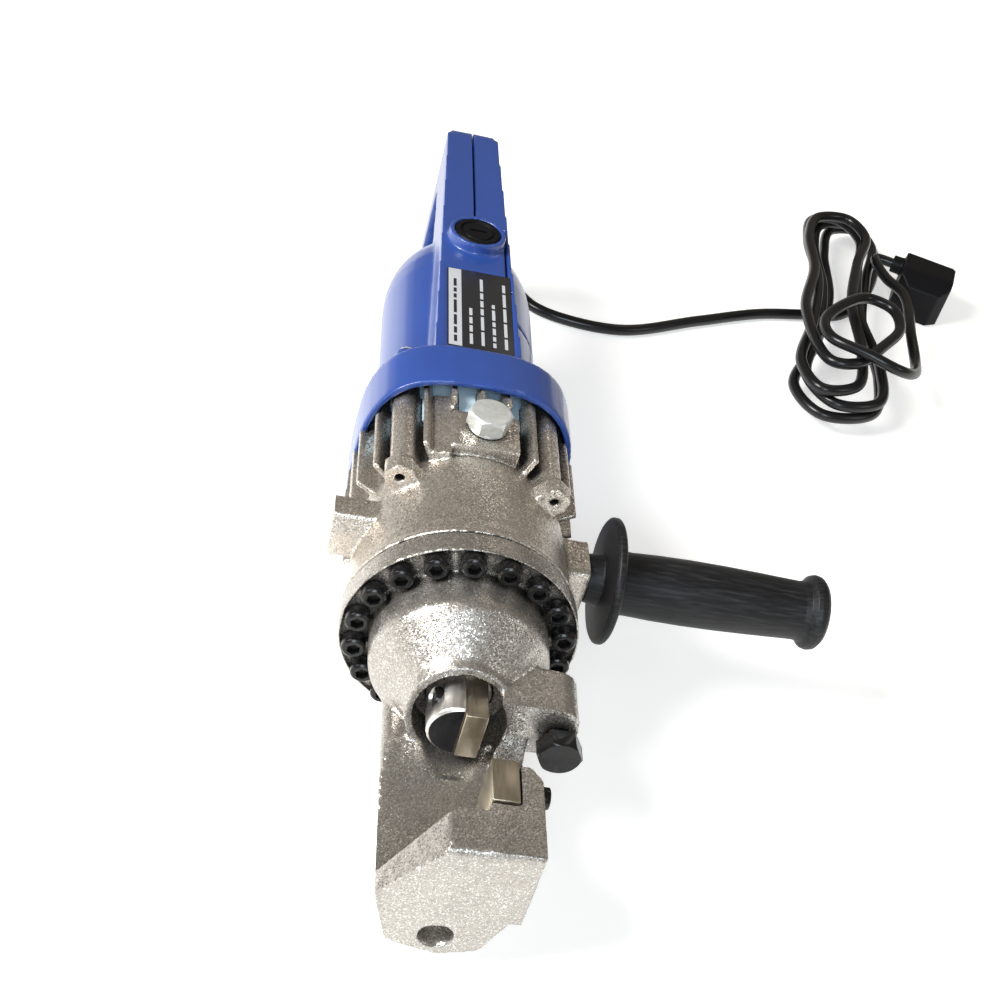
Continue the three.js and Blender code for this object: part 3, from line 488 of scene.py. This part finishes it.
def dress(piece, nodes, slot=None, body=None, sharp=38):
    """Finishes a piece: material, shading, body and the CAD nodes it stands for."""
    nodes = [nodes] if isinstance(nodes, str) else list(nodes)
    slot = slot or SLOT[nodes[0]]
    piece.data.materials.clear()
    piece.data.materials.append(MATERIAL[slot])
    piece.data.shade_smooth()
    piece.data.set_sharp_from_angle(angle=math.radians(sharp))
    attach(piece, body or BODY[nodes[0]])
    if nodes:
        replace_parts(piece, *nodes)


def copy_of(node, name):
    """The CAD node's own mesh as a new object, its flat faces merged."""
    mesh = bmesh.new()
    mesh.from_mesh(frame["nodes"][node].data)
    bmesh.ops.remove_doubles(mesh, verts=mesh.verts, dist=2e-6)
    bmesh.ops.dissolve_limit(
        mesh, angle_limit=math.radians(1.0), verts=mesh.verts, edges=mesh.edges)
    return new_object(name, mesh)


def smooth(piece, iterations, group):
    step = piece.modifiers.new("smooth", "SMOOTH")
    step.iterations = iterations
    step.vertex_group = group


def mark(piece, name, weight_of):
    """Vertex group whose weights come from a function of the vertex."""
    group = piece.vertex_groups.new(name=name)
    mesh = bmesh.new()
    mesh.from_mesh(piece.data)
    mesh.normal_update()
    for vertex in mesh.verts:
        weight = weight_of(vertex)
        if weight > 0:
            group.add([vertex.index], weight, "REPLACE")
    mesh.free()


def evenness(vertex):
    """1 where the faces round a vertex nearly lie in one plane, down to 0 on a real edge."""
    bend = max(face.normal.angle(vertex.normal, 0) for face in vertex.link_faces)
    edge, fade = math.radians(16), math.radians(6)
    return min(1, max(0, (edge - bend) / fade))


EVENING = 30  # passes that smooth the facets of a round face away
LUMP_SIZE = 5


def moulding(node, name, voxel, rounding, lumps=0.0, hold=None, fit=None):
    """A casting or moulding: the CAD shape with facets evened, edges run out and faint lumps.

    `voxel` is the remesh size, `rounding` the number of passes that round the edges and `lumps` the
    height of the lumps. `hold` says which vertices keep their place while the edges are rounded,
    and `fit` which ones keep it throughout, because a moving piece runs close to them.
    """

    def loose(vertex, *tests):
        return not any(test and test(vertex.co) for test in tests)

    piece = copy_of(node, name)
    grid = piece.modifiers.new("grid", "REMESH")
    grid.mode = "VOXEL"
    grid.voxel_size = voxel * MM
    bake(piece)
    mark(piece, "free", lambda vertex: loose(vertex, hold, fit))
    smooth(piece, rounding, "free")
    bake(piece)
    mark(piece, "even", lambda vertex: loose(vertex, fit) * evenness(vertex))
    smooth(piece, EVENING, "even")
    if lumps:
        clouds = bpy.data.textures.new(name + "_lumps", "CLOUDS")
        clouds.noise_scale = LUMP_SIZE * MM
        clouds.noise_depth = 2
        uneven = piece.modifiers.new("lumps", "DISPLACE")
        uneven.texture = clouds
        uneven.texture_coords = "LOCAL"
        uneven.strength = lumps * MM
        uneven.mid_level = 0.5
        uneven.vertex_group = "free"
    bake(piece)
    piece.vertex_groups.clear()
    return piece


def edged(node, name, width, segments=2):
    """A machined or moulded piece whose CAD shape is right: the same shape with soft edges."""
    return soften(copy_of(node, name), width, segments)


# ---------------------------------------------------------------- castings


BORES_REACH = 39  # radius of the core of the casing that holds them


def in_the_bores(point):
    """The pump's chambers and bores lie inside the casing's core."""
    return math.hypot(point.x, point.z) < BORES_REACH * MM


def build_castings():
    head = moulding("cutter_head", "cutter_head_casting", voxel=0.75, rounding=5, lumps=0.30)
    dress(head, "cutter_head", sharp=60)
    casing = moulding(
        "pump_casing", "pump_casing_casting", voxel=0.75, rounding=5, lumps=0.25, fit=in_the_bores)
    dress(casing, "pump_casing", sharp=60)


# ---------------------------------------------------------------- screws and plugs


def cap_screw(name, head_radius, head, shank_radius, tip, socket, socket_depth):
    """Socket-head cap screw along +Y, its head's face at y = 0, its shank from `head` to `tip`."""
    profile = [
        (0, 0), (head_radius - 0.9, 0), (head_radius, 0.8), (head_radius, head),
        (shank_radius, head), (shank_radius, tip - 0.6), (shank_radius - 0.6, tip), (0, tip),
    ]
    screw = new_object(name, lathe(profile, "y", (0, -SHIFT, 0), 48, 0.35))
    boolean(screw, prism(regular(6, socket), "y", -1 - SHIFT, socket_depth - SHIFT))
    return soften(screw, 0.15, 2)


def build_flange_screws():
    random.seed(7)
    nodes = sorted(node for node in SLOT if node.startswith("flange_screw"))
    low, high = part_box(nodes[0])
    pattern = cap_screw(
        "screw_pattern", head_radius=5, head=6, shank_radius=2.9, tip=(high.y - low.y) / MM,
        socket=5, socket_depth=3.1)
    for node in nodes:
        x, _, z = centre(node)
        low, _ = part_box(node)
        screw = bpy.data.objects.new(node + "_fine", pattern.data.copy())
        bpy.context.scene.collection.objects.link(screw)
        spin = Matrix.Rotation(random.uniform(0, math.pi), 4, "Y")
        screw.data.transform(Matrix.Translation((x * MM, low.y, z * MM)) @ spin)
        dress(screw, node)
    bpy.data.objects.remove(pattern)


def hexagon_head(name, axis, across, low, high, place, turn=0, chamfer_high=True):
    """Hexagon head along `axis` whose corners are turned off at its high or its low end."""
    reach = across / math.sqrt(3)
    turned = [(0, low), (reach - 1.2, low), (reach, low + 1.1), (reach, high), (0, high)]
    if chamfer_high:
        turned = [(0, low), (reach, low), (reach, high - 1.1), (reach - 1.4, high), (0, high)]
    blank = new_object(name, lathe(turned, axis, place, 72))
    spot = (place[0], place[2] if axis == "y" else place[1])
    sides = prism(regular(6, across, turn, spot), axis, low - 1, high + 1)
    boolean(blank, sides, "INTERSECT")
    return soften(blank, 0.22, 2)


def join(base, *others):
    """Merges pieces into one object."""
    mesh = bmesh.new()
    for piece in (base, *others):
        mesh.from_mesh(piece.data)
        if piece is not base:
            bpy.data.objects.remove(piece)
    mesh.to_mesh(base.data)
    mesh.free()
    return base


def threaded(name, axis, radius, low, high, place, pitch):
    """Plain rod with the rings of a thread."""
    profile = [(0, low), (radius - 0.7, low)]
    turns = int((high - low - 1.2) / pitch)
    for i in range(turns):
        start = low + 0.8 + pitch * i
        profile += [(radius - 0.45, start), (radius, start + pitch / 2)]
    profile += [(radius - 0.45, low + 0.8 + pitch * turns), (radius - 0.7, high), (0, high)]
    return new_object(name, lathe(profile, axis, place, 48))


STOPPER = {"across": 16, "head": 7.8, "radius": 5, "pitch": 1.5}
OIL_PLUG = {"across": 17, "head": 7, "radius": 4.9, "pitch": 1.25}


def build_stopper():
    x, _, z = centre("stopper_bolt")
    low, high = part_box("stopper_bolt")
    front, rear = low.y / MM - SHIFT, high.y / MM - SHIFT
    under = front + STOPPER["head"]
    head = hexagon_head(
        "stopper_bolt_fine", "y", STOPPER["across"], front, under, (x, 0, z), chamfer_high=False)
    shank = threaded("shank", "y", STOPPER["radius"], under - 0.3, rear, (x, 0, z), STOPPER["pitch"])
    dress(join(head, shank), "stopper_bolt")


def build_oil_plug():
    x, y, _ = centre("oil_plug")
    low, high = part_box("oil_plug")
    tip, top = low.z / MM, high.z / MM
    under = top - OIL_PLUG["head"]
    head = hexagon_head("oil_plug_fine", "z", OIL_PLUG["across"], under, top, (x, y, 0), turn=5)
    shank = threaded("shank", "z", OIL_PLUG["radius"], tip, under + 0.2, (x, y, 0), OIL_PLUG["pitch"])
    dress(join(head, shank), "oil_plug")
    low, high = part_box("oil_plug_washer")
    inner, outer, base, face = 5.2, 8.4, low.z / MM, high.z / MM
    washer = lathe([(inner, base), (outer, base), (outer, face), (inner, face)], "z", (x, y, 0))
    dress(soften(new_object("oil_plug_washer_fine", washer), 0.25), "oil_plug_washer")


# ---------------------------------------------------------------- piston rod and blades


def build_ram():
    rod = edged("piston", "piston_rod", 0.35, 3)
    dress(rod, "piston")
    rod.data.materials.append(MATERIAL["rod_end"])
    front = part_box("piston")[0].y
    for face in rod.data.polygons:
        if face.normal.y < -0.9 and face.center.y < front + 2 * MM:
            face.material_index = 1
    for node in ("moving_blade", "fixed_blade"):
        dress(edged(node, node + "_ground", 0.45), node)
    for node in ("moving_blade_screw", "fixed_blade_screw"):
        dress(edged(node, node + "_fine", 0.2), node)


def build_spring():
    """Return spring round the rod, squeezed between the cylinder's front wall and the piston."""
    low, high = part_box("return_spring")
    turns, reach, wire, steps = 5, 20, 1.2, 240
    front, rear = low.y / MM - SHIFT + wire, high.y / MM - SHIFT - wire
    coil = []
    for i in range(steps + 1):
        angle = 2 * math.pi * turns * i / steps
        along = front + (rear - front) * i / steps
        coil.append(Vector((reach * math.sin(angle), along, reach * math.cos(angle))))
    spring = new_object("return_spring_coil", sweep(coil, wire, 12))
    dress(spring, "return_spring", sharp=60)
    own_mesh(spring)


# ---------------------------------------------------------------- blue shells


SEAM = {"x": 0.15, "half_width": 1.3, "start": 240}


def by_the_seam(point):
    """The two shells meet on a plane just beside x = 0, all the way behind the brush cap."""
    beside = abs(point.x - SEAM["x"] * MM) < SEAM["half_width"] * MM
    return beside and point.y > at(0, SEAM["start"], 0).y


def build_shells():
    for node in ("motor_housing", "handle_cover"):
        shell = moulding(node, node + "_shell", voxel=0.8, rounding=8, hold=by_the_seam)
        dress(shell, node, sharp=70)


def build_clip():
    """Bent steel wire on the left of the barrel, just behind the collar, 46 to 10 degrees from its top."""
    reach, wire, behind = 39.4, 1.1, 135
    bend = []
    for i in range(13):
        angle = math.radians(-46 + 3 * i)
        along = behind + 3 * math.sin(i / 4)
        bend.append(Vector((reach * math.sin(angle), along, reach * math.cos(angle))))
    clip = new_object("wire_clip", sweep(centripetal(bend, 1.0), wire, 16))
    dress(clip, [], "zinc_plate", "frame")


def build_brush_caps():
    """Screw caps with a raised rim and a coin slot; the bottom one is the top one upside down."""
    for node, side in (("brush_cap_top", 1), ("brush_cap_bottom", -1)):
        x, y, _ = centre(node)
        low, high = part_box(node)
        top = (high.z if side > 0 else -low.z) / MM
        thick = (high.z - low.z) / MM
        reach = (high.x - low.x) / 2 / MM
        profile = [  # a groove between radius 7.4 and 8.9 sets the rim off from the slotted middle
            (0, top - thick), (reach, top - thick), (reach, top - 0.7), (reach - 0.7, top), (8.9, top),
            (8.6, top - 0.9), (7.7, top - 0.9), (7.4, top - 0.1), (0, top - 0.1),
        ]
        cap = new_object(node + "_fine", lathe(profile, "z", (x, y, 0), 96, 0.3))
        slot = rectangle(x - 4.4, x + 4.4, y - 0.8, y + 0.8)
        boolean(cap, prism(slot, "z", top - 1.4, top + 1))
        if side < 0:
            cap.data.transform(Matrix.Scale(-1, 4, (0, 0, 1)))
            cap.data.flip_normals()
        dress(cap, node)


# Each row of dashes: its distance from the label's left edge, and the share of its length it fills.
LABEL_ROWS = [(3.0, 0.9), (10.4, 0.5), (15.9, 0.95), (21.4, 0.6), (26.9, 0.92)]
DASHES = (3.6, 5.2, 8.4, 11.0)


def build_label():
    """Label plate with a pale strip and rows of plain dashes."""
    low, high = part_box("label_plate")
    dress(edged("label_plate", "label_foil", 0.12), "label_plate")
    left, top = low.x / MM, high.z / MM
    near, far = low.y / MM - SHIFT, high.y / MM - SHIFT

    def tile(x0, x1, y0, y1, rise):
        return prism(rectangle(x0, x1, y0, y1), "z", top - 0.05, top + rise)

    edge, strip_end, strip_rise, row_rise = 0.6, 6.8, 0.02, 0.04
    strip = new_object(
        "label_strip", tile(left + edge, left + strip_end, near + edge, far - edge, strip_rise))
    dress(strip, [], "label_white", "frame")
    random.seed(3)
    margin, gap, width, shortest = 3.5, 1.6, 1.5, 3
    for number, (place, share) in enumerate(LABEL_ROWS):
        marks = []
        x, y = left + place, near + margin
        end = y + share * (far - near - 2 * margin)
        while y < end - shortest:
            length = min(random.choice(DASHES), end - y)
            dash = tile(x, x + width, y, y + length, row_rise)
            marks.append(new_object(f"label_row_{number}", dash))
            y += length + gap
        dress(join(*marks), [], "label_white" if number else "label", "frame")


# ---------------------------------------------------------------- side handle, cord and plug


def build_side_handle():
    """Turned grip: a stud in the casing's boss, a disc that guards the hand, a waist and an end knob."""
    _, y, z = centre("side_handle")
    low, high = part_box("side_handle")
    root, end = low.x / MM, high.x / MM
    profile = [
        (0, root), (4.9, root), (4.9, 55.8), (10.5, 55.8), (11.5, 62.8), (26.5, 64.0), (28, 65.0),
        (28, 67.2), (26.8, 68.2), (16.2, 69.2), (14.2, 71.5), (14.0, 76), (14.5, 88), (14.7, 102),
        (14.5, 118), (14.0, 134), (13.4, 148), (13.2, 154), (13.9, 156.6), (16.2, 158.4),
        (16.9, 160.6), (16.4, 163), (14.6, 164.8), (9, end - 0.2), (0, end),
    ]
    dress(new_object("side_handle_grip", lathe(profile, "x", (0, y, z), 128, 1.2)), "side_handle")


# The hank: its middle, its half length and half width at the waist, how much wider it is at the far
# (up) and the near (down) end, and how far it leans to the right.
HANK = {"x": 273, "y": 390, "reach": 124, "waist": 12, "up": 31, "down": 60, "lean": 0.2}
HANK_TURNS = 3.5
TURN_LIFT = 7.2


def hank_point(turn):
    """A point on the hank after `turn` turns: each turn lies higher, further left and smaller."""
    sine, cosine = math.sin(2 * math.pi * turn), math.cos(2 * math.pi * turn)
    shrink = 0.08 if sine > 0 else 0.02
    along = (1 - shrink * turn) * HANK["reach"] * sine
    bulge = HANK["up"] if sine > 0 else HANK["down"] - 9 * turn
    across = cosine * (HANK["waist"] + bulge * sine**2) - 2 - 6 * turn
    lift = TURN_LIFT * turn + 3.6 * min(1, 3 * turn)
    lean = HANK["lean"] + 0.05 * math.sin(2.4 * turn)
    return (HANK["x"] + across + lean * along, HANK["y"] + along, FLOOR_Z + CORD_RADIUS + lift)


def cord_path():
    """Lead across the floor, stacked loops, a wrap round their waist and a tail to the plug."""
    floor = FLOOR_Z + CORD_RADIUS
    lead = [
        (0, 301, CORD_EXIT_Z), (0, 325, CORD_EXIT_Z), (0, 345, CORD_EXIT_Z), (0, 359, CORD_EXIT_Z),
        (9, 377, -50), (29, 379, floor), (47, 360, floor), (60, 342, floor), (80, 334, floor),
        (115, 334, floor), (166, 360, floor), (210, 382, floor), (240, 391, floor), (268, 399, floor),
    ]
    turns = [hank_point(0.06 + i / 12) for i in range(round(12 * HANK_TURNS) + 1)]
    wrap = [
        (230, 294, -23.6), (244, 292, -21.6), (266, 314, -19.6), (282, 338, -19.6), (281, 357, -18.6),
        (266, 363, -17.6), (246, 348, -16.6), (229, 324, -16.6), (230, 305, -15.2), (248, 293, -14.1),
        (268, 287, -17.6), (284, 299, -25.6), (293, 322, -31.6), (295, 346, -28.6),
    ]
    tail = [
        (304, 400, -31), (299, 425, -35), (296.5, 443, -35.5), (299, 452, -36.5),
        (304.5, 451.4, -36.5), (311.1, 449, -36.5),
    ]
    return [Vector(point) for point in lead + turns + wrap + tail]


def build_cord():
    path = centripetal(cord_path(), 2.0)
    dress(new_object("power_cord_sheath", sweep(path, CORD_RADIUS - 0.05, 24)), "power_cord", sharp=60)
    dress(edged("strain_relief", "strain_relief_fine", 0.4), "strain_relief")


def build_plug():
    body = moulding("mains_plug", "mains_plug_body", voxel=0.6, rounding=8)
    dress(body, "mains_plug", sharp=60)


# ---------------------------------------------------------------- pieces that keep their CAD shape


def build_rest():
    """Every other node keeps its CAD mesh and takes its slot's material."""
    done = {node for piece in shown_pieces() for node in piece.get("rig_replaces", [])}
    for node in SLOT:
        if node not in done:
            holder = frame["nodes"][node]
            holder.data.materials.clear()
            holder.data.materials.append(MATERIAL[SLOT[node]])


# ---------------------------------------------------------------- floor, light and camera


def build_stage():
    """A floor just under the lowest point of the object, out to the horizon."""
    level = cad_bounds[0].z - 0.2 * MM
    reach = 25.0  # metres
    mesh = bmesh.new()
    corners = rectangle(-reach, reach, -reach, reach)
    mesh.faces.new([mesh.verts.new((x, y, level)) for x, y in corners])
    floor = new_object("studio_floor", mesh)
    floor.data.materials.append(studio_floor("studio_floor"))


def lamp(name, place, target, size, power, colour=(1, 1, 1)):
    data = bpy.data.lights.new(name, "AREA")
    data.shape = "DISK"
    data.size = size
    data.energy = power
    data.color = colour
    made = bpy.data.objects.new(name, data)
    bpy.context.scene.collection.objects.link(made)
    made.location = place
    made.rotation_euler = (target - place).to_track_quat("-Z", "Y").to_euler()


def build_world():
    """A dim warm sky as a light, pale where the camera sees it."""
    world = bpy.data.worlds.new("studio")
    world.use_nodes = True
    bpy.context.scene.world = world
    tree = world.node_tree
    sky = tree.nodes.new("ShaderNodeValToRGB")
    sky.color_ramp.elements[0].color = (0.225, 0.203, 0.170, 1)
    sky.color_ramp.elements[1].color = (0.95, 0.95, 0.95, 1)
    path = tree.nodes.new("ShaderNodeLightPath")
    tree.links.new(path.outputs["Is Camera Ray"], sky.inputs["Fac"])
    tree.links.new(sky.outputs["Color"], tree.nodes["Background"].inputs["Color"])


def build_lamps():
    """Large soft lamps on the left and in front; small ones at the back and right for glints.

    Their places are in metres from the tool's middle.
    """
    middle = at(0, 100, 0)
    lamp("key", middle + Vector((-1.25, -0.35, 1.15)), middle, 0.8, 45)
    lamp("front", middle + Vector((-0.15, -1.55, 1.1)), middle, 0.8, 17, (0.76, 0.89, 1.0))
    lamp("back", middle + Vector((0.55, 0.95, 1.15)), middle, 0.3, 0.6, (1.0, 0.93, 0.84))
    lamp("right", middle + Vector((1.3, -0.4, 0.8)), middle, 0.5, 2)


CAMERA_PLACE = (-97.7, -451.0, 441.2)
CAMERA_FORWARD = (0.1661, 0.7636, -0.6240)
CAMERA_RIGHT = (0.974, -0.026, 0.227)
LENS = 56.2


def build_camera():
    """Looks down on the nose from the front, a little from the left."""
    data = bpy.data.cameras.new("camera")
    data.lens = LENS
    data.sensor_width = 36
    camera = bpy.data.objects.new("camera", data)
    bpy.context.scene.collection.objects.link(camera)
    forward, right = Vector(CAMERA_FORWARD).normalized(), Vector(CAMERA_RIGHT)
    right = (right - forward * right.dot(forward)).normalized()
    up = right.cross(forward)
    turn = Matrix((right, up, -forward)).transposed()
    camera.matrix_world = Matrix.Translation(at(*CAMERA_PLACE)) @ turn.to_4x4()
    bpy.context.scene.camera = camera
    bpy.context.scene.view_settings.view_transform = "Standard"


build_castings()
build_flange_screws()
build_stopper()
build_oil_plug()
build_ram()
build_spring()
build_shells()
build_brush_caps()
build_clip()
build_label()
build_side_handle()
build_cord()
build_plug()
build_rest()
build_stage()
build_world()
build_lamps()
build_camera()
